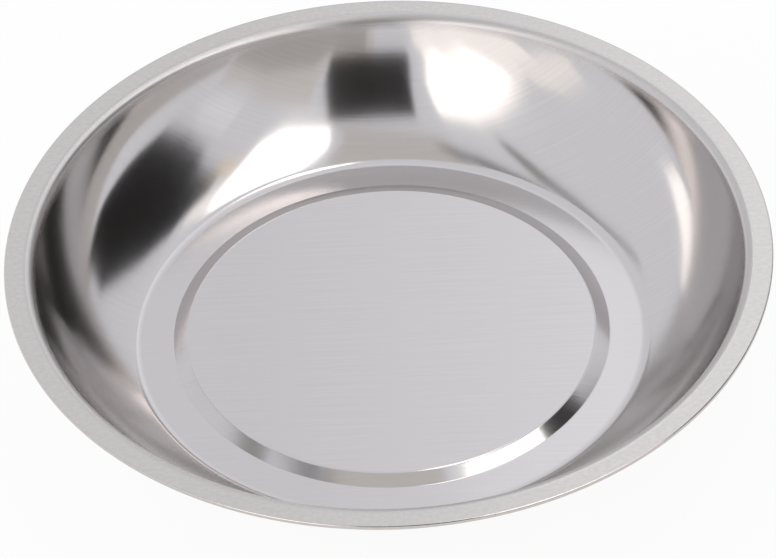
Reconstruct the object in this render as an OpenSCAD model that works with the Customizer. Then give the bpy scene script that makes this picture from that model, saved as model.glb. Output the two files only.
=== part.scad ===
// Magnetic parts tray, in millimetres, +Z up.
// A pressed stainless dish stands on a ring magnet in a rubber boot. A stud
// welded under the dish carries the magnet, and a nut in the boot's well holds it.
// The origin is at the middle of the face that the tray stands on.

/* [Dish] */
// Outside diameter of the rim
rim_d = 150; // [125:1:200]
// Width of the rim's flat, from the fold to the cut edge
rim_flat_w = 3.8; // [2:0.1:8]
// Depth from the top of the rim to the floor around the plateau
dish_depth = 21.8; // [14:0.1:30]
// Thickness of the pressed sheet
sheet_t = 0.9; // [0.6:0.1:1.2]
// Radius that takes the sharpness off the cut edge, above and below
edge_r = 0.25; // [0.1:0.05:0.25]
// Inside radius of the fold between the rim and the wall
fold_r = 1.1; // [0.5:0.1:2]
// How far the bowed wall turns between its foot and its head, in degrees
wall_turn = 35; // [10:1:50]
// Inside radius of the bend between the wall and the floor
foot_r = 4; // [2:0.5:12]
// Width of the flat floor between the wall's bend and the plateau's step
floor_w = 5.9; // [2:0.1:12]
// Height of the plateau above the floor around it
step_h = 1.2; // [0.6:0.1:2]
// Slope of the step around the plateau, in degrees from level
step_slope = 25; // [12:1:35]
// Inside radius of the step's two bends
step_r = 2.35; // [1:0.05:4]
// Width of the plateau's flat that stands out past the boot under it
seat_w = 0.85; // [0.2:0.05:4]

/* [Magnet] */
// Outside diameter of the ferrite ring
magnet_d = 72; // [50:1:86]
// Diameter of the ring's bore
magnet_bore_d = 32; // [22:1:40]
// Height of the ring
magnet_h = 10; // [8.5:0.5:15]
// Chamfer on the ring's four edges
magnet_chamfer = 0.6; // [0.2:0.1:1]

/* [Boot] */
// Thickness of rubber around the ring
boot_wall = 2.5; // [1.5:0.1:5]
// Thickness of rubber under the ring
boot_skin = 2; // [1.5:0.1:3]
// Radius of the boot's lower edge
boot_round_r = 2; // [0.5:0.1:2.5]
// Chamfer on the lip that sits under the plateau
lip_chamfer = 0.6; // [0.2:0.1:1]
// Gap between the end of the stud in the well and the face that the tray stands on
well_recess = 1; // [0.3:0.1:3]
// Diameter of the well that the nut sits in
well_d = 14.5; // [13:0.5:18]
// Chamfer around the mouth of the well
well_chamfer = 0.8; // [0.3:0.1:1.5]

/* [Fasteners] */
// Diameter of the stud and of the thread in the nut
stud_d = 5; // [4:0.5:6]
// Length of stud that stands out past the nut
stud_tail = 0.8; // [0.4:0.1:1.6]
// Chamfer on the end of the stud
stud_chamfer = 0.6; // [0.2:0.1:0.9]
// Width of the collar that the weld leaves around the stud
collar_w = 0.75; // [0.4:0.05:1.2]
// Height of the weld collar
collar_h = 0.8; // [0.5:0.1:1.2]
// Wall thickness of the sleeve that takes the nut's clamping force
sleeve_wall = 1; // [0.6:0.1:1.2]
// Outside diameter of the flat washer
washer_d = 10; // [9.5:0.5:12]
// Thickness of the flat washer
washer_t = 1; // [0.6:0.1:1.6]
// Outside diameter of the spring washer
spring_washer_d = 9.2; // [8.5:0.1:10]
// Thickness of the spring washer
spring_washer_t = 1.2; // [0.8:0.1:1.8]
// Width of the slit through the spring washer
slit_w = 0.9; // [0.4:0.1:1.5]
// Slant of the slit, in degrees from upright
slit_slant = 25; // [0:1:40]
// Distance across the flats of the nut
nut_flats = 8; // [7.5:0.5:9]
// Height of the nut
nut_h = 4; // [3:0.1:4.8]
// Height of the chamfer on the nut's corners
nut_chamfer = 0.5; // [0.2:0.1:0.7]

/* [Clearances] */
// Gap between the rubber and what it holds
boot_clearance = 0.15; // [0.05:0.05:0.3]
// Gap between the weld collar and the sleeve
sleeve_clearance = 0.25; // [0.1:0.05:0.4]
// Gap between the washers and the stud
washer_clearance = 0.15; // [0.05:0.05:0.3]
// Gap between the stud and the nut's thread
thread_clearance = 0.05; // [0.02:0.01:0.1]

/* [Hidden] */
$fn = 96;

// How far each cut runs past what it cuts
overrun = 1;
// Most that an arc of the sheet stands off its chords
arc_sag = 0.004;

// Heights, from the face that the tray stands on upwards
plateau_under_z = boot_skin + magnet_h;
plateau_z = plateau_under_z + sheet_t;
floor_z = plateau_z - step_h;
rim_z = floor_z + dish_depth;

// Radii of the boot and of what it holds
stud_r = stud_d / 2;
collar_r = stud_r + collar_w;
sleeve_bore_r = collar_r + sleeve_clearance;
sleeve_r = sleeve_bore_r + sleeve_wall;
boss_bore_r = sleeve_r + boot_clearance;
well_r = well_d / 2;
magnet_r = magnet_d / 2;
magnet_bore_r = magnet_bore_d / 2;
boss_r = magnet_bore_r - boot_clearance;
cavity_r = magnet_r + boot_clearance;
boot_r = cavity_r + boot_wall;

// The step is a cone between two equal and opposite bends of the sheet's middle layer
step_middle_r = step_r + sheet_t / 2;
step_convex_r = step_r + sheet_t;
step_bends_h = 2 * step_middle_r * (1 - cos(step_slope));
step_bends_w = 2 * step_middle_r * sin(step_slope);
step_w = step_bends_w + (step_h - step_bends_h) / tan(step_slope);

// Radii of the dish, from the plateau over the boot out to the cut edge
plateau_r = boot_r + seat_w;
step_foot_r = plateau_r + step_w;
floor_r = step_foot_r + floor_w;
rim_r = rim_d / 2;
rim_flat_r = rim_r - rim_flat_w;
fold_outer_r = fold_r + sheet_t;

// The wall is the one arc of its turn that runs smoothly out of the bend and into the fold
bends_r = foot_r + fold_outer_r;
wall_run = rim_flat_r - floor_r;
wall_drop = dish_depth - bends_r;
bends_reach = bends_r * cos(wall_turn / 2);
wall_reach = sqrt(wall_run ^ 2 + wall_drop ^ 2 - bends_reach ^ 2);
middle_slope = atan2(wall_drop, wall_run) + atan2(bends_reach, wall_reach);
foot_slope = middle_slope - wall_turn / 2;
head_slope = middle_slope + wall_turn / 2;
wall_r = wall_reach / (2 * sin(wall_turn / 2)) + (foot_r - fold_outer_r) / 2;
wall_centre_r = floor_r - (wall_r - foot_r) * sin(foot_slope);
wall_centre_z = floor_z + foot_r + (wall_r - foot_r) * cos(foot_slope);

// The stack in the well, from the end of the stud up to the boss of the boot
stud_end_z = well_recess;
nut_z = stud_end_z + stud_tail;
spring_washer_z = nut_z + nut_h;
washer_z = spring_washer_z + spring_washer_t;
roof_z = washer_z + washer_t;
boss_h = plateau_under_z - roof_z;
washer_bore_r = stud_r + washer_clearance;
thread_r = stud_r + thread_clearance;
nut_corner_r = nut_flats / 2 / cos(30);

// Points along an arc, which leaves out its first one where it carries on from another arc
function arc(centre, r, from, to, first = 0) =
    let (steps = ceil(abs(to - from) / (2 * acos(1 - arc_sag / r))))
    [for (i = [first:steps])
        let (angle = from + (to - from) * i / steps)
        centre + r * [cos(angle), sin(angle)]];

// One face of the sheet in section, from the axis to the rim, at a depth below the upper face
function sheet_face(depth) = concat(
    [[0, plateau_z - depth]],
    arc([plateau_r, plateau_z - step_convex_r], step_convex_r - depth, 90, 90 - step_slope),
    arc([step_foot_r, floor_z + step_r], step_r + depth, 270 - step_slope, 270),
    arc([floor_r, floor_z + foot_r], foot_r + depth, 270, 270 + foot_slope),
    arc([wall_centre_r, wall_centre_z], wall_r + depth, 270 + foot_slope, 270 + head_slope, 1),
    arc([rim_flat_r, rim_z - fold_outer_r], fold_outer_r - depth, 90 + head_slope, 90, 1)
);

// The cut edge of the rim in section, from its upper corner to its lower one
function rim_edge() = concat(
    arc([rim_r - edge_r, rim_z - edge_r], edge_r, 90, 0),
    arc([rim_r - edge_r, rim_z - sheet_t + edge_r], edge_r, 0, -90)
);

function backwards(points) = [for (i = [len(points) - 1:-1:0]) points[i]];

// A ring about the middle axis, by its two radii, its foot and its height
module ring(inner_r, outer_r, foot_z, height) {
    rotate_extrude()
        translate([inner_r, foot_z])
            square([outer_r - inner_r, height]);
}

// The tray itself: one sheet with a flat rim, a bowed wall, a floor and a raised plateau
module dish() {
    color("silver")
        rotate_extrude()
            polygon(concat(sheet_face(0), rim_edge(), backwards(sheet_face(sheet_t))));
}

// The stud that is welded under the plateau, with the collar that the weld leaves
module weld_stud() {
    color("lightsteelblue")
        rotate_extrude()
            polygon([
                [0, stud_end_z],
                [stud_r - stud_chamfer, stud_end_z],
                [stud_r, stud_end_z + stud_chamfer],
                [stud_r, plateau_under_z - collar_h],
                [collar_r, plateau_under_z - collar_h],
                [collar_r, plateau_under_z],
                [0, plateau_under_z]
            ]);
}

// The pressed and fired ferrite ring that holds the tray down and its contents in
module ring_magnet() {
    top_z = plateau_under_z;
    foot_z = top_z - magnet_h;
    color("dimgray")
        rotate_extrude()
            polygon([
                [magnet_bore_r + magnet_chamfer, foot_z],
                [magnet_r - magnet_chamfer, foot_z],
                [magnet_r, foot_z + magnet_chamfer],
                [magnet_r, top_z - magnet_chamfer],
                [magnet_r - magnet_chamfer, top_z],
                [magnet_bore_r + magnet_chamfer, top_z],
                [magnet_bore_r, top_z - magnet_chamfer],
                [magnet_bore_r, foot_z + magnet_chamfer]
            ]);
}

// The boot's outer form in section: a block with a round foot and a chamfered lip
module boot_block() {
    round_centre_r = boot_r - boot_round_r;
    square([round_centre_r, plateau_under_z]);
    translate([round_centre_r, boot_round_r])
        circle(r = boot_round_r);
    polygon([
        [0, boot_round_r],
        [boot_r, boot_round_r],
        [boot_r, plateau_under_z - lip_chamfer],
        [boot_r - lip_chamfer, plateau_under_z],
        [0, plateau_under_z]
    ]);
}

// The well under the nut in section, widening at its mouth
module nut_well() {
    square([well_r, roof_z]);
    polygon([
        [0, -overrun],
        [well_r + well_chamfer + overrun, -overrun],
        [well_r, well_chamfer],
        [0, well_chamfer]
    ]);
}

// The moulded boot: it wraps the ring and fills its bore, down to the nut's well
module magnet_boot() {
    color([0.09, 0.09, 0.1])
        rotate_extrude()
            difference() {
                boot_block();
                translate([boss_r, boot_skin])
                    square([cavity_r - boss_r, magnet_h + overrun]);
                square([boss_bore_r, plateau_under_z + overrun]);
                nut_well();
            }
}

// The steel sleeve in the boss, which keeps the nut from crushing the rubber
module spacer_sleeve() {
    color("gainsboro")
        ring(sleeve_bore_r, sleeve_r, roof_z, boss_h);
}

// The flat washer under the sleeve
module flat_washer() {
    color("gainsboro")
        ring(washer_bore_r, washer_d / 2, washer_z, washer_t);
}

// The spring washer, pressed flat by the nut, with its slanting slit
module spring_washer() {
    spring_washer_r = spring_washer_d / 2;
    color("darkgray")
        difference() {
            ring(washer_bore_r, spring_washer_r, spring_washer_z, spring_washer_t);
            translate([0, 0, spring_washer_z + spring_washer_t / 2])
                rotate([slit_slant, 0, 0])
                    translate([0, -slit_w / 2, -spring_washer_r])
                        cube([spring_washer_d, slit_w, spring_washer_d]);
        }
}

// The hexagon nut, with its corners chamfered at both ends
module hex_nut() {
    face_r = nut_corner_r - nut_chamfer / tan(30);
    color("gainsboro")
        difference() {
            intersection() {
                translate([0, 0, nut_z])
                    cylinder(r = nut_corner_r, h = nut_h, $fn = 6);
                rotate_extrude()
                    polygon([
                        [0, nut_z],
                        [face_r, nut_z],
                        [nut_corner_r, nut_z + nut_chamfer],
                        [nut_corner_r, nut_z + nut_h - nut_chamfer],
                        [face_r, nut_z + nut_h],
                        [0, nut_z + nut_h]
                    ]);
            }
            translate([0, 0, nut_z - overrun])
                cylinder(r = thread_r, h = nut_h + 2 * overrun);
        }
}

dish();
weld_stud();
ring_magnet();
magnet_boot();
spacer_sleeve();
flat_washer();
spring_washer();
hex_nut();
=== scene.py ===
import math

import bmesh
import bpy
from mathutils import Matrix, Vector


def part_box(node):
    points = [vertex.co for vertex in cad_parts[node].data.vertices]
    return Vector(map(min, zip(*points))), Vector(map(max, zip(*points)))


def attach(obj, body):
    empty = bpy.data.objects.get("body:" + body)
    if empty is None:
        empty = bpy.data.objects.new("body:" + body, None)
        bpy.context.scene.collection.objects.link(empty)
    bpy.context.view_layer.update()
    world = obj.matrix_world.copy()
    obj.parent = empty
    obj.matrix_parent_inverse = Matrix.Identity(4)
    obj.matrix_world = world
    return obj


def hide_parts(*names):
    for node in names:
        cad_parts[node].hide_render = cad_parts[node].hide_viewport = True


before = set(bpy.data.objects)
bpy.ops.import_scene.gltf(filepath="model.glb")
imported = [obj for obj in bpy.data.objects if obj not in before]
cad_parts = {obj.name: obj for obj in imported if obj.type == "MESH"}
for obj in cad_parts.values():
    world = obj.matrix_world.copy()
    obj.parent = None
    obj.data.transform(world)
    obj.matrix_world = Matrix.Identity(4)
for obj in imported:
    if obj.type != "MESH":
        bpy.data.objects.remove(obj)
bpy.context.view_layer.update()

# Dish
# One round blank of brushed stainless sheet, pressed in one stroke to a bowl with a raised
# plateau, then trimmed. The brushing ran along X, so the grain keeps that way up the wall.
dish_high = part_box("dish")[1]
rim_r = dish_high.x
rim_z = dish_high.z
rim_flat_w = 0.0038
sheet_t = 0.0009
edge_r = 0.00025
fold_outer_r = 0.002
foot_r = 0.004
wall_turn = math.radians(35)
plateau_r = 0.03985
step_h = 0.0013
step_slope = math.radians(24)
step_r = 0.0007
floor_w = 0.006
floor_fall = math.radians(4)

plateau_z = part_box("weld_stud")[1].z + sheet_t
rim_flat_r = rim_r - rim_flat_w
step_convex_r = step_r + sheet_t
step_bends_r = step_r + step_convex_r
step_cone_h = step_h - step_bends_r * (1 - math.cos(step_slope))
step_foot_r = plateau_r + step_bends_r * math.sin(step_slope) + step_cone_h / math.tan(step_slope)
floor_r = step_foot_r + floor_w

# The floor falls a little from the foot of the step to the foot of the wall
bend_change = foot_r - step_r
step_foot_z = plateau_z - step_h
floor_z = (
    step_foot_z - bend_change * (1 - math.cos(floor_fall))
    - (floor_w - bend_change * math.sin(floor_fall)) * math.tan(floor_fall)
)
dish_depth = rim_z - floor_z

# The wall is the one arc of its turn that runs smoothly out of the bend and into the fold
bends_r = foot_r + fold_outer_r
wall_run = rim_flat_r - floor_r
wall_drop = dish_depth - bends_r
bends_reach = bends_r * math.cos(wall_turn / 2)
wall_reach = math.sqrt(wall_run ** 2 + wall_drop ** 2 - bends_reach ** 2)
middle_slope = math.atan2(wall_drop, wall_run) + math.atan2(bends_reach, wall_reach)
foot_slope = middle_slope - wall_turn / 2
head_slope = middle_slope + wall_turn / 2
wall_r = wall_reach / (2 * math.sin(wall_turn / 2)) + (foot_r - fold_outer_r) / 2
wall_centre_r = floor_r - (wall_r - foot_r) * math.sin(foot_slope)
wall_centre_z = floor_z + foot_r + (wall_r - foot_r) * math.cos(foot_slope)

quarter = math.pi / 2
full_turn = 2 * math.pi
dish_segments = 288
step_bend_steps = 12
foot_steps = 20
wall_steps = 36
fold_steps = 24
edge_steps = 5
plateau_ring_shares = (0.0, 0.3, 0.6, 0.85, 0.96, 0.995)
straight_ring_shares = (0.03, 0.5, 0.97)
merge_gap = 1e-7
sharp_angle = math.radians(28)


def arc(centre_r, centre_z, radius, start, end, steps):
    # Points along an arc of a section, from its first one to its last
    angles = [start + (end - start) * i / steps for i in range(steps + 1)]
    return [(centre_r + radius * math.cos(a), centre_z + radius * math.sin(a)) for a in angles]


def between_rings(start, end):
    # Extra rings near both ends of a straight stretch keep its shading even
    return [tuple(a + (b - a) * share for a, b in zip(start, end)) for share in straight_ring_shares]


def sheet_face(depth):
    # One face of the sheet in section, from the axis to the rim, at a depth below the upper face
    falling = -quarter - floor_fall
    plateau = [(plateau_r * share, plateau_z - depth) for share in plateau_ring_shares]
    step_head = arc(
        plateau_r, plateau_z - step_convex_r, step_convex_r - depth,
        quarter, quarter - step_slope, step_bend_steps,
    )
    step_foot = arc(
        step_foot_r, step_foot_z + step_r, step_r + depth,
        -quarter - step_slope, falling, step_bend_steps,
    )
    foot = arc(
        floor_r, floor_z + foot_r, foot_r + depth,
        falling, foot_slope - quarter, foot_steps,
    )
    wall = arc(
        wall_centre_r, wall_centre_z, wall_r + depth,
        foot_slope - quarter, head_slope - quarter, wall_steps,
    )
    fold = arc(
        rim_flat_r, rim_z - fold_outer_r, fold_outer_r - depth,
        quarter + head_slope, quarter, fold_steps,
    )
    floor_rings = between_rings(step_foot[-1], foot[0])
    rim_rings = between_rings((rim_flat_r, rim_z - depth), (rim_r - edge_r, rim_z - depth))
    return [*plateau, *step_head, *step_foot, *floor_rings, *foot, *wall[1:], *fold[1:], *rim_rings]


def turned(outline, angle):
    # An outline of (radius, height) points, stood up at an angle about the Z axis
    return [(r * math.cos(angle), r * math.sin(angle), z) for r, z in outline]


def even_turns(segments):
    return [full_turn * k / segments for k in range(segments)]


def add_object(name, data):
    thing = bpy.data.objects.new(name, data)
    bpy.context.scene.collection.objects.link(thing)
    return thing


def make_piece(name, sections, goes_round=True):
    # A closed body: each section is a closed ring of points, joined to the next one
    body = bmesh.new()
    rows = [[body.verts.new(point) for point in section] for section in sections]
    following_rows = rows[1:] + rows[:1] if goes_round else rows[1:]
    for row, following in zip(rows, following_rows):
        for i in range(len(row)):
            body.faces.new((row[i - 1], row[i], following[i], following[i - 1]))
    if not goes_round:
        body.faces.new(rows[0])
        body.faces.new(rows[-1])
    bmesh.ops.remove_doubles(body, verts=body.verts, dist=merge_gap)
    bmesh.ops.recalc_face_normals(body, faces=body.faces)
    for face in body.faces:
        face.smooth = True
    mesh = bpy.data.meshes.new(name)
    body.to_mesh(mesh)
    body.free()
    mesh.set_sharp_from_angle(angle=sharp_angle)
    return add_object(name, mesh)


def spin_piece(name, outline, segments):
    return make_piece(name, [turned(outline, a) for a in even_turns(segments)])


def dress(piece, material, node):
    piece.data.materials.append(material)
    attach(piece, "root")
    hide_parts(node)


def empty_tree(owner):
    owner.use_nodes = True
    owner.node_tree.nodes.clear()
    return owner.node_tree


def new_material(name):
    material = bpy.data.materials.new(name)
    return material, empty_tree(material)


def plug(tree, socket, value):
    # A socket takes the output of another node, or a value of its own
    if isinstance(value, bpy.types.NodeSocket):
        tree.links.new(value, socket)
    else:
        socket.default_value = value


def add_node(tree, kind, **inputs):
    node = tree.nodes.new(kind)
    for name, value in inputs.items():
        plug(tree, node.inputs[name.replace("_", " ")], value)
    return node


def add_math(tree, operation, *values):
    node = add_node(tree, "ShaderNodeMath")
    node.operation = operation
    for socket, value in zip(node.inputs, values):
        plug(tree, socket, value)
    return node.outputs["Value"]


def add_noise(tree, per_metre, detail):
    # Noise on the piece's own coordinates, with its own fineness along each axis
    place = add_node(tree, "ShaderNodeTexCoord")
    stretch = add_node(tree, "ShaderNodeMapping", Vector=place.outputs["Object"], Scale=per_metre)
    noise = add_node(
        tree, "ShaderNodeTexNoise", Vector=stretch.outputs["Vector"], Scale=1.0, Detail=detail
    )
    return noise.outputs["Fac"]


# Noise keeps mostly between these two values
noise_low = 0.3
noise_high = 0.7


def map_value(tree, value, low, high, from_low=noise_low, from_high=noise_high):
    spread = add_node(
        tree, "ShaderNodeMapRange",
        Value=value, From_Min=from_low, From_Max=from_high, To_Min=low, To_Max=high,
    )
    return spread.outputs["Result"]


def map_colour(tree, noise, dark, light):
    ramp = add_node(tree, "ShaderNodeValToRGB", Fac=noise)
    ends = ramp.color_ramp.elements
    ends[0].position = noise_low
    ends[0].color = (*dark, 1)
    ends[1].position = noise_high
    ends[1].color = (*light, 1)
    return ramp.outputs["Color"]


def mix_colours(tree, share, first, second):
    mix = add_node(tree, "ShaderNodeMix")
    mix.data_type = "RGBA"
    plug(tree, mix.inputs["Factor"], share)
    plug(tree, mix.inputs["A"], first)
    plug(tree, mix.inputs["B"], second)
    return mix.outputs["Result"]


def add_bump(tree, height, depth):
    bump = add_node(tree, "ShaderNodeBump", Strength=1.0, Height=height, Distance=depth)
    return bump.outputs["Normal"]


def add_surface(tree, **inputs):
    surface = add_node(tree, "ShaderNodeBsdfPrincipled", **inputs)
    add_node(tree, "ShaderNodeOutputMaterial", Surface=surface.outputs["BSDF"])


cut_edge = [
    *arc(rim_r - edge_r, rim_z - edge_r, edge_r, quarter, 0, edge_steps),
    *arc(rim_r - edge_r, rim_z - sheet_t + edge_r, edge_r, 0, -quarter, edge_steps),
]
dish_outline = [*sheet_face(0), *cut_edge, *reversed(sheet_face(sheet_t))]
dish = spin_piece("pressed_dish", dish_outline, dish_segments)

steel_dark = (0.56, 0.534, 0.528)
steel_light = (0.582, 0.555, 0.549)
rim_dark = (0.553, 0.519, 0.497)
rim_light = (0.6, 0.564, 0.54)
grain_per_metre = (45, 3200, 0)
grain_detail = 3.0
grain_depth = 4e-6
grain_anisotropy = 0.9
scuff_per_metre = (900, 1300, 0)
scuff_detail = 6.0
smudge_per_metre = (60, 40, 0)
smudge_detail = 4.0
wiped_roughness = 0.105
smudged_roughness = 0.135
peel_roughness = 0.25
fold_start_r = rim_flat_r - fold_outer_r
fold_blend = fold_outer_r / 4

steel, steel_tree = new_material("brushed_stainless")
grain = add_noise(steel_tree, grain_per_metre, grain_detail)
scuff = add_noise(steel_tree, scuff_per_metre, scuff_detail)
smudge = add_noise(steel_tree, smudge_per_metre, smudge_detail)
across_grain = add_node(steel_tree, "ShaderNodeCombineXYZ", Y=1.0)
steel_place = add_node(steel_tree, "ShaderNodeTexCoord")
flattened = add_node(
    steel_tree, "ShaderNodeMapping", Vector=steel_place.outputs["Object"], Scale=(1, 1, 0)
)
from_axis = add_node(steel_tree, "ShaderNodeVectorMath")
from_axis.operation = "LENGTH"
plug(steel_tree, from_axis.inputs[0], flattened.outputs["Vector"])


def change_at(radius, inside, outside):
    # One value inside a radius of the dish and another outside it, with a short blend
    return map_value(
        steel_tree, from_axis.outputs["Value"], inside, outside, radius - fold_blend, radius + fold_blend
    )


# The press stretched the fold, which roughened it like orange peel, and handling has scuffed the rim
peel = add_math(steel_tree, "MULTIPLY", change_at(fold_start_r, 0, 1), change_at(rim_flat_r, 1, 0))
smudged = map_value(steel_tree, smudge, wiped_roughness, smudged_roughness)
add_surface(
    steel_tree,
    Base_Color=mix_colours(
        steel_tree, change_at(rim_flat_r, 0, 1),
        map_colour(steel_tree, grain, steel_dark, steel_light),
        map_colour(steel_tree, scuff, rim_dark, rim_light),
    ),
    Metallic=1.0,
    Roughness=add_math(steel_tree, "MULTIPLY_ADD", peel, peel_roughness, smudged),
    Anisotropic=grain_anisotropy,
    Tangent=across_grain.outputs["Vector"],
    Normal=add_bump(steel_tree, grain, grain_depth),
)
dress(dish, steel, "dish")

# Weld stud
# An M5 steel stud, fired onto the underside of the plateau by a stud welder. The weld leaves
# an uneven collar round its root and tints the steel next to it, and the thread runs out below.
stud_low, stud_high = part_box("weld_stud")
stud_r = 0.0025
stud_chamfer = 0.0006
thread_pitch = 0.0008
thread_depth = 0.00043
thread_flank_gain = 1.25
thread_run_out = 0.0006
collar_h = 0.0008
stud_segments = 64
rows_per_pitch = 10
bead_steps = 8

# Waves of the collar's edge: how many go round, their turn, and their share of its radius
collar_waves = ((5, 0.0, 0.03), (8, 1.3, 0.02), (13, 2.1, 0.01))

collar_r = stud_high.x
collar_z = stud_high.z - collar_h
thread_end_z = collar_z - thread_run_out


def thread_radius(z, angle):
    # A thread with flat crests and roots, which climbs one pitch a turn
    phase = (z / thread_pitch - angle / full_turn) % 1
    groove = (abs(2 * phase - 1) - 0.5) * thread_flank_gain + 0.5
    return stud_r - thread_depth * min(max(groove, 0), 1)


def thread_rows(low_z, high_z):
    count = round((high_z - low_z) / thread_pitch * rows_per_pitch)
    return [low_z + (high_z - low_z) * i / count for i in range(count + 1)]


def stud_outline(angle):
    points = [(0, stud_low.z)]
    for z in thread_rows(stud_low.z, collar_z):
        end_cone_r = stud_r - stud_chamfer + z - stud_low.z
        run_out = min(max((z - thread_end_z) / thread_run_out, 0), 1)
        thread_r = thread_radius(z, angle)
        points.append((min(thread_r + (stud_r - thread_r) * run_out, end_cone_r), z))
    swell = 1 + sum(share * math.sin(count * angle + turn) for count, turn, share in collar_waves)
    bead_r = collar_h / 2
    uneven_r = collar_r * min(swell, 1)
    bead = arc(uneven_r - bead_r, stud_high.z - bead_r, bead_r, -quarter, quarter, bead_steps)
    return [*points, *bead, (0, stud_high.z)]


stud = make_piece("weld_stud_m5", [turned(stud_outline(a), a) for a in even_turns(stud_segments)])

stud_dark = (0.38, 0.375, 0.36)
stud_light = (0.56, 0.555, 0.54)
stud_smooth = 0.3
stud_rough = 0.48
patch_per_metre = (900, 900, 900)
patch_detail = 5.0
patch_depth = 8e-6
heat_straw = (0.42, 0.27, 0.12)
heat_reach = 0.0016

stud_steel, stud_tree = new_material("welded_stud_steel")
stud_patches = add_noise(stud_tree, patch_per_metre, patch_detail)
stud_place = add_node(stud_tree, "ShaderNodeTexCoord")
stud_axes = add_node(stud_tree, "ShaderNodeSeparateXYZ", Vector=stud_place.outputs["Object"])
heat = map_value(stud_tree, stud_axes.outputs["Z"], 0, 1, collar_z - heat_reach, stud_high.z)
stud_colour = map_colour(stud_tree, stud_patches, stud_dark, stud_light)
add_surface(
    stud_tree,
    Base_Color=mix_colours(stud_tree, heat, stud_colour, (*heat_straw, 1)),
    Metallic=1.0,
    Roughness=map_value(stud_tree, stud_patches, stud_smooth, stud_rough),
    Normal=add_bump(stud_tree, stud_patches, patch_depth),
)
dress(stud, stud_steel, "weld_stud")

# Magnet boot
# A moulded black rubber boot. It wraps the magnet, fills its bore with a boss and has a well
# for the nut in its underside. A fine ridge round its side is left by the parting of the mould.
boot_low, boot_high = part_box("magnet_boot")
magnet_low, magnet_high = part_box("ring_magnet")
sleeve_low, sleeve_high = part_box("spacer_sleeve")
boot_clearance = 0.00015
boot_skin = 0.002
boot_round_r = 0.002
lip_chamfer = 0.0006
magnet_bore_r = 0.016
well_r = 0.00725
well_chamfer = 0.0008
moulded_bend = 0.0003
parting_z = 0.0055
parting_half_h = 0.0002
parting_w = 0.00012
boot_segments = 160
moulded_steps = 5

boot_r = boot_high.x
boss_r = magnet_bore_r - boot_clearance
cavity_r = magnet_high.x + boot_clearance
boss_bore_r = sleeve_high.x + boot_clearance
roof_z = sleeve_low.z


def rounded(corners, steps):
    # A closed outline from corners of (radius, height, size of the bend)
    points = []
    for i, (r, z, bend) in enumerate(corners):
        corner = Vector((r, z))
        before = (Vector(corners[i - 1][:2]) - corner).normalized()
        after = (Vector(corners[(i + 1) % len(corners)][:2]) - corner).normalized()
        half_angle = before.angle(after) / 2
        centre = corner + (before + after).normalized() * bend / math.sin(half_angle)
        first = corner + before * bend / math.tan(half_angle) - centre
        last = corner + after * bend / math.tan(half_angle) - centre
        spokes = [first.lerp(last, k / steps).normalized() * bend for k in range(steps + 1)]
        points += [tuple(centre + spoke) for spoke in spokes]
    return points


boot_outline = rounded([
    (boss_bore_r, roof_z, moulded_bend),
    (boss_bore_r, boot_high.z, moulded_bend),
    (boss_r, boot_high.z, moulded_bend),
    (boss_r, boot_skin, moulded_bend),
    (cavity_r, boot_skin, moulded_bend),
    (cavity_r, boot_high.z, moulded_bend),
    (boot_r - lip_chamfer, boot_high.z, moulded_bend),
    (boot_r, boot_high.z - lip_chamfer, moulded_bend),
    (boot_r, parting_z + parting_half_h, parting_w),
    (boot_r + parting_w, parting_z, parting_w / 2),
    (boot_r, parting_z - parting_half_h, parting_w),
    (boot_r, boot_low.z, boot_round_r),
    (well_r + well_chamfer, boot_low.z, moulded_bend),
    (well_r, boot_low.z + well_chamfer, moulded_bend),
    (well_r, roof_z, moulded_bend),
], moulded_steps)
boot = spin_piece("rubber_boot", boot_outline, boot_segments)

rubber_black = (0.018, 0.018, 0.019)
rubber_dusty = (0.05, 0.049, 0.048)
rubber_smooth = 0.62
rubber_rough = 0.85
rubber_shine = 0.35
bloom_per_metre = (120, 120, 120)
bloom_detail = 6.0
mould_grain_per_metre = (2600, 2600, 2600)
mould_grain_detail = 2.0
mould_grain_depth = 2e-5

rubber, rubber_tree = new_material("moulded_rubber")
bloom = add_noise(rubber_tree, bloom_per_metre, bloom_detail)
mould_grain = add_noise(rubber_tree, mould_grain_per_metre, mould_grain_detail)
add_surface(
    rubber_tree,
    Base_Color=map_colour(rubber_tree, bloom, rubber_black, rubber_dusty),
    Roughness=map_value(rubber_tree, bloom, rubber_smooth, rubber_rough),
    Specular_IOR_Level=rubber_shine,
    Normal=add_bump(rubber_tree, mould_grain, mould_grain_depth),
)
dress(boot, rubber, "magnet_boot")

# Ring magnet
# A hard ferrite ring, pressed from powder, fired and ground on its two faces. It lies loose
# in the boot, against the underside of the plateau, and all of it is out of sight.
magnet_chamfer = 0.0006
chipped_bend = 0.00015
magnet_segments = 128
chipped_steps = 3

magnet_corners = []
for side_r, inward in ((magnet_bore_r, 1), (magnet_high.x, -1)):
    side = [
        (side_r + inward * magnet_chamfer, magnet_low.z, chipped_bend),
        (side_r, magnet_low.z + magnet_chamfer, chipped_bend),
        (side_r, magnet_high.z - magnet_chamfer, chipped_bend),
        (side_r + inward * magnet_chamfer, magnet_high.z, chipped_bend),
    ]
    magnet_corners += side if inward > 0 else reversed(side)
magnet = spin_piece("ferrite_ring", rounded(magnet_corners, chipped_steps), magnet_segments)

ferrite_dark = (0.07, 0.07, 0.074)
ferrite_light = (0.14, 0.14, 0.145)
ferrite_smooth = 0.5
ferrite_rough = 0.72
speckle_per_metre = (1800, 1800, 1800)
speckle_detail = 4.0
speckle_depth = 2e-5

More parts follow.
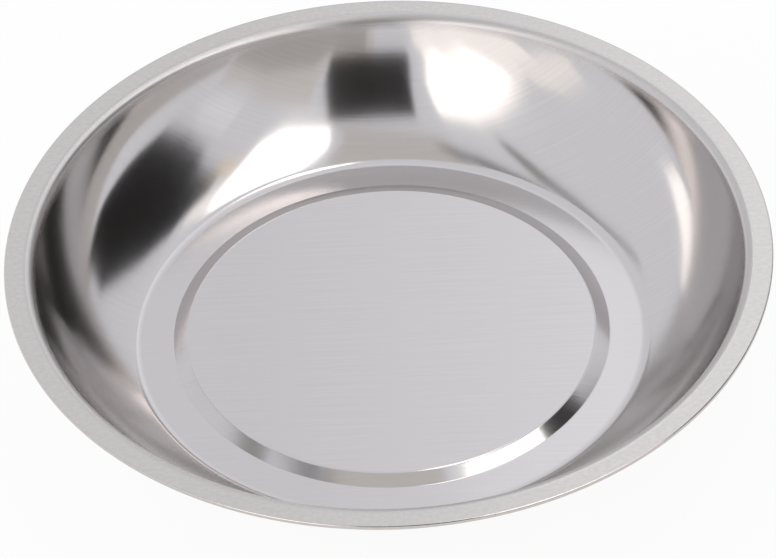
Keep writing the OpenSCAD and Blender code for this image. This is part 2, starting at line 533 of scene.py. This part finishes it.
ferrite, ferrite_tree = new_material("fired_ferrite")
speckle = add_noise(ferrite_tree, speckle_per_metre, speckle_detail)
add_surface(
    ferrite_tree,
    Base_Color=map_colour(ferrite_tree, speckle, ferrite_dark, ferrite_light),
    Roughness=map_value(ferrite_tree, speckle, ferrite_smooth, ferrite_rough),
    Normal=add_bump(ferrite_tree, speckle, speckle_depth),
)
dress(magnet, ferrite, "ring_magnet")

# Spacer sleeve
# A short length of steel tube in the boss of the boot, cut off and deburred. The nut clamps it
# against the plateau, so that the rubber isn't crushed. It is zinc plated, as the washers are.
sleeve_wall = 0.001
deburred_bend = 0.00015
sleeve_segments = 72
deburred_steps = 4

sleeve_r = sleeve_high.x


def ring_outline(inner_r, outer_r, low_z, high_z, lower_bend, upper_bend):
    return rounded([
        (inner_r, low_z, lower_bend),
        (outer_r, low_z, lower_bend),
        (outer_r, high_z, upper_bend),
        (inner_r, high_z, upper_bend),
    ], deburred_steps)


sleeve_outline = ring_outline(
    sleeve_r - sleeve_wall, sleeve_r, sleeve_low.z, sleeve_high.z, deburred_bend, deburred_bend
)
sleeve = spin_piece("spacer_tube", sleeve_outline, sleeve_segments)

zinc_dark = (0.5, 0.5, 0.475)
zinc_light = (0.68, 0.685, 0.69)
zinc_smooth = 0.26
zinc_rough = 0.42
cloud_per_metre = (420, 420, 420)
cloud_detail = 5.0
spangle_per_metre = (3000, 3000, 3000)
spangle_detail = 3.0
spangle_depth = 4e-6

zinc, zinc_tree = new_material("zinc_plated_steel")
clouds = add_noise(zinc_tree, cloud_per_metre, cloud_detail)
spangle = add_noise(zinc_tree, spangle_per_metre, spangle_detail)
add_surface(
    zinc_tree,
    Base_Color=map_colour(zinc_tree, clouds, zinc_dark, zinc_light),
    Metallic=1.0,
    Roughness=map_value(zinc_tree, clouds, zinc_smooth, zinc_rough),
    Normal=add_bump(zinc_tree, spangle, spangle_depth),
)
dress(sleeve, zinc, "spacer_sleeve")

# Flat washer
# An M5 washer punched from zinc plated strip. The punch draws its lower edges round and leaves
# the upper ones sharp. It carries the sleeve and closes the top of the well.
washer_low, washer_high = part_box("flat_washer")
washer_clearance = 0.00015
drawn_bend = 0.00028
burr_bend = 0.00005
washer_segments = 72

washer_bore_r = stud_r + washer_clearance
washer_outline = ring_outline(
    washer_bore_r, washer_high.x, washer_low.z, washer_high.z, drawn_bend, burr_bend
)
washer = spin_piece("plain_washer_m5", washer_outline, washer_segments)
dress(washer, zinc, "flat_washer")

# Spring washer
# An M5 split washer of spring steel, coiled from square wire and cut at a slant. The tightened
# nut holds it flat, so only the slit shows that it is a spring.
spring_low, spring_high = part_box("spring_washer")
spring_r = 0.0046
slit_w = 0.0009
slit_slant = math.radians(25)
wire_bend = 0.00012
spring_segments = 72

spring_middle_z = (spring_low.z + spring_high.z) / 2
slit_half = slit_w / 2 / math.cos(slit_slant)
wire_outline = ring_outline(washer_bore_r, spring_r, spring_low.z, spring_high.z, wire_bend, wire_bend)


def spring_section(share):
    # Both ends lie in the slit's slanted faces, and the sections between fan out evenly
    points = []
    for r, z in wire_outline:
        slit_y = math.tan(slit_slant) * (spring_middle_z - z)
        start = math.asin((slit_y + slit_half) / r)
        end = full_turn + math.asin((slit_y - slit_half) / r)
        angle = start + (end - start) * share
        points.append((r * math.cos(angle), r * math.sin(angle), z))
    return points


spring_sections = [spring_section(k / spring_segments) for k in range(spring_segments + 1)]
spring = make_piece("split_washer_m5", spring_sections, goes_round=False)
dress(spring, zinc, "spring_washer")

# Hex nut
# An M5 nut, cold formed and tapped, zinc plated. Both its ends are turned to a 30 degree cone,
# which cuts the corners back, and the thread is countersunk where it starts.
nut_low, nut_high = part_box("hex_nut")
nut_flats = 0.008
nut_chamfer = 0.0005
nut_cone = math.radians(30)
thread_clearance = 0.00005
countersink_r = 0.00272
nut_sides = 6
nut_segments = 96

side_turn = full_turn / nut_sides
nut_corner_r = nut_flats / 2 / math.cos(side_turn / 2)
nut_face_r = nut_corner_r - nut_chamfer / math.tan(nut_cone)


def nut_outline(angle):
    flat_r = nut_flats / 2 / math.cos(angle % side_turn - side_turn / 2)
    cut_back = (flat_r - nut_face_r) * math.tan(nut_cone)
    outside = [
        (nut_face_r, nut_low.z),
        (flat_r, nut_low.z + cut_back),
        (flat_r, nut_high.z - cut_back),
        (nut_face_r, nut_high.z),
    ]
    inside = []
    for z in reversed(thread_rows(nut_low.z, nut_high.z)):
        sunk_r = countersink_r - min(z - nut_low.z, nut_high.z - z)
        inside.append((max(thread_radius(z, angle) + thread_clearance, sunk_r), z))
    return [*outside, *inside]


nut = make_piece("hexagon_nut_m5", [turned(nut_outline(a), a) for a in even_turns(nut_segments)])
dress(nut, zinc, "hex_nut")

# Camera
# A long lens looks down into the bowl from the front, rolled a little to the right.
# Its place was fitted to the outline of the rim.
rim_centre = Vector((0, 0, rim_z))
frame_px = (776, 558)
rim_centre_px = (388.1, 251.6)
focal_px = 6155
view_distance = 1.2
view_elevation = math.radians(43.05)
view_roll = math.radians(-2.5)
sensor_mm = 36
sight_end = 40

sight = Vector((0, math.cos(view_elevation), -math.sin(view_elevation)))
level_right = Vector((1, 0, 0))
level_up = level_right.cross(sight)
rolled_right = level_right * math.cos(view_roll) + level_up * math.sin(view_roll)
rolled_up = level_up * math.cos(view_roll) - level_right * math.sin(view_roll)
aim_right = (frame_px[0] / 2 - rim_centre_px[0]) / focal_px
aim_up = (rim_centre_px[1] - frame_px[1] / 2) / focal_px
aim = (sight + rolled_right * aim_right + rolled_up * aim_up).normalized()
aim_side = aim.cross(rolled_up).normalized()
aim_top = aim_side.cross(aim)
camera_turn = Matrix((aim_side, aim_top, -aim)).transposed()

camera = add_object("camera", bpy.data.cameras.new("camera"))
camera.data.sensor_width = sensor_mm
camera.data.lens = sensor_mm * focal_px / frame_px[0]
camera.data.clip_end = sight_end
camera.matrix_world = Matrix.Translation(rim_centre - sight * view_distance) @ camera_turn.to_4x4()
bpy.context.scene.camera = camera
bpy.context.scene.view_settings.view_transform = "Standard"

# Studio
# A pale dome lights the tray evenly from all round. Softboxes and cards hang in it, so that
# the steel has something to reflect, and the camera looks straight through them.
lamp_light = (1.03, 1.0, 0.97, 1)
cool_light = (0.955, 0.98, 1.03, 1)
gold_light = (1.0, 0.86, 0.62, 1)
closest_panels = 0.255
close_panels = 0.37
near_panels = 0.4
far_panels = 0.43


def hang_panel(name, level, distance, corners, colour=lamp_light, right_level=None):
    # Corners are degrees from straight overhead, to the right and to the back, as the bowl sees them
    points = []
    for right, back in corners:
        around = math.atan2(back, right)
        off_top = math.radians(math.hypot(right, back))
        reach = math.sin(off_top)
        away = Vector((reach * math.cos(around), reach * math.sin(around), math.cos(off_top)))
        points.append(rim_centre + away * distance)
    mesh = bpy.data.meshes.new(name)
    mesh.from_pydata(points, [], [tuple(range(len(points)))])
    material, tree = new_material(name)
    strength = level
    if right_level:
        place = add_node(tree, "ShaderNodeTexCoord")
        axes = add_node(tree, "ShaderNodeSeparateXYZ", Vector=place.outputs["Generated"])
        strength = map_value(tree, axes.outputs["X"], level, right_level, 0, 1)
    glow = add_node(tree, "ShaderNodeEmission", Color=colour, Strength=strength)
    add_node(tree, "ShaderNodeOutputMaterial", Surface=glow.outputs["Emission"])
    mesh.materials.append(material)
    panel = add_object(name, mesh)
    panel.visible_camera = False


# Mirrored in the far wall: the dark side round the camera, and the softbox at the left of it
hang_panel(
    "camera_side_dark", level=0.03, distance=near_panels,
    corners=[(-9, -30), (14.5, -29), (18.5, -50), (18.5, -64), (-11, -65), (-9.5, -46)],
)
hang_panel(
    "left_softbox", level=2.2, distance=near_panels,
    corners=[
        (-25, -26), (-15.5, -30.5), (-14.5, -46), (-17, -62), (-24, -67.5), (-34, -67), (-41, -62),
        (-45, -53), (-45, -44), (-39, -34), (-32, -28.5),
    ],
)
hang_panel(
    "left_softbox_edge", level=1.5, distance=far_panels,
    corners=[
        (-25, -23.5), (-16, -28), (-16, -66), (-13, -68), (-14, -80), (-38, -80), (-52, -68),
        (-58, -52), (-50, -42), (-41, -32), (-33, -26),
    ],
)

# Mirrored at the foot of the far wall and in the step
hang_panel(
    "overhead_softbox", level=3.5, distance=near_panels,
    corners=[
        (12.5, -16), (14, -25), (27, -24), (32, -17), (34, -5), (36, 8), (33, 9.5), (29, 7), (24, 2),
        (18, -3), (15.5, -9),
    ],
)
hang_panel(
    "back_softbox", level=3.5, distance=near_panels,
    corners=[(3, 11), (13, 11), (16, 24), (5, 24)],
)

# Mirrored in the left wall
hang_panel(
    "right_dark", level=0.02, distance=near_panels,
    corners=[
        (42, 20), (42, 5), (45, -5), (50, -13), (58, -17), (69, -16), (74, 0), (74, 26), (65, 48),
        (56, 52), (47, 32),
    ],
)
hang_panel(
    "right_dark_edge", level=0.02, distance=closest_panels,
    corners=[(37, 7), (38, 1), (47, -4), (47, 20), (41, 23)],
)
hang_panel(
    "softbox_tail", level=1.6, distance=near_panels,
    corners=[(36, 0), (37, 4), (39, 7), (41, 12), (39.5, 16.5), (35.5, 12), (33, 9.5), (36, 8)],
)

# Mirrored in the right wall
hang_panel(
    "left_strip_light", level=1.9, distance=near_panels,
    corners=[(-52, 60), (-62, 48), (-70, 34), (-75, 24), (-80, 26), (-76, 38), (-67, 52), (-57, 63)],
)
hang_panel(
    "outer_bar", level=0.3, distance=near_panels,
    corners=[
        (-45, 39), (-39.5, 21), (-34.5, 4), (-29.5, -14), (-27.5, -14), (-31, 4), (-36, 20), (-43.5, 39),
    ],
)
hang_panel(
    "inner_bar", level=0.1, distance=near_panels,
    corners=[(-32, 11), (-21, -6.5), (-14, -13), (-11, -14.5), (-15.5, -7.5), (-27.5, 9)],
)

# Grey and pale cards, which shade the steel between those
hang_panel(
    "overhead_grey", level=0.75, distance=far_panels,
    corners=[(-18, 5), (8, 5), (12, -8), (9, -20), (12, -26), (0, -23), (-12, -20), (-16, -15)],
)
hang_panel(
    "front_grey", level=0.82, distance=far_panels,
    corners=[
        (2, -66), (20, -60), (22, -37), (38, -40), (48, -46), (58, -44), (60, -60), (30, -80), (2, -84),
    ],
)
hang_panel(
    "front_low_grey", level=0.55, distance=near_panels,
    corners=[(5, -67), (19.5, -66), (24, -58), (42, -53), (58, -55), (56, -68), (34, -80), (5, -82)],
)
hang_panel(
    "right_card", level=1.12, distance=far_panels,
    corners=[(44, -36), (46, -22), (58, -22), (62, -34), (52, -40)],
    colour=cool_light,
)
hang_panel(
    "right_low_grey", level=0.62, distance=far_panels,
    corners=[
        (60, -62), (88, -20), (88, 20), (66, 60), (60, 54), (77, 24), (82, 2), (80, -16), (58, -54),
    ],
)
hang_panel(
    "back_card", level=0.98, distance=far_panels,
    corners=[(-7, 32), (17, 32), (17, 62), (-7, 62)],
    colour=cool_light, right_level=1.28,
)
hang_panel(
    "left_low_light", level=1.3, distance=near_panels,
    corners=[(-52, -38), (-50, -50), (-62, -52), (-74, -45), (-72, -30), (-60, -30)],
)
hang_panel(
    "warm_card", level=1.1, distance=close_panels,
    corners=[(43, -4.5), (36, -3), (33.5, -9), (38.5, -9.5)],
    colour=gold_light,
)
hang_panel(
    "low_back_grey", level=0.45, distance=far_panels,
    corners=[(-34, 64), (28, 64), (30, 84), (-36, 84)],
)

dome = bpy.data.worlds.new("studio_dome")
dome_tree = empty_tree(dome)
dome_glow = add_node(dome_tree, "ShaderNodeBackground", Color=cool_light, Strength=1.0)
add_node(dome_tree, "ShaderNodeOutputWorld", Surface=dome_glow.outputs["Background"])
bpy.context.scene.world = dome

# Floor
# A plain white sweep. It shows to the camera and in the steel as the white background,
# and keeps a share of the shadow that the tray throws on it.
floor_half = 15.0
floor_white = (0.9, 0.9, 0.9, 1)
background_share = 0.93

floor_signs = ((-1, -1), (1, -1), (1, 1), (-1, 1))
floor_mesh = bpy.data.meshes.new("floor")
floor_mesh.from_pydata([(floor_half * x, floor_half * y, 0) for x, y in floor_signs], [], [(0, 1, 2, 3)])
floor_material, floor_tree = new_material("floor_white")
floor_paint = add_node(floor_tree, "ShaderNodeBsdfDiffuse", Color=floor_white)
floor_glow = add_node(floor_tree, "ShaderNodeEmission", Strength=1.0)
ray = add_node(floor_tree, "ShaderNodeLightPath").outputs
seen_or_mirrored = add_math(floor_tree, "MAXIMUM", ray["Is Camera Ray"], ray["Is Glossy Ray"])
seen_at_all = add_math(floor_tree, "MAXIMUM", seen_or_mirrored, ray["Is Transmission Ray"])
glow_share = add_math(floor_tree, "MULTIPLY", seen_at_all, background_share)
floor_mix = add_node(floor_tree, "ShaderNodeMixShader", Fac=glow_share)
plug(floor_tree, floor_mix.inputs[1], floor_paint.outputs["BSDF"])
plug(floor_tree, floor_mix.inputs[2], floor_glow.outputs["Emission"])
add_node(floor_tree, "ShaderNodeOutputMaterial", Surface=floor_mix.outputs["Shader"])
floor_mesh.materials.append(floor_material)
floor = add_object("floor", floor_mesh)
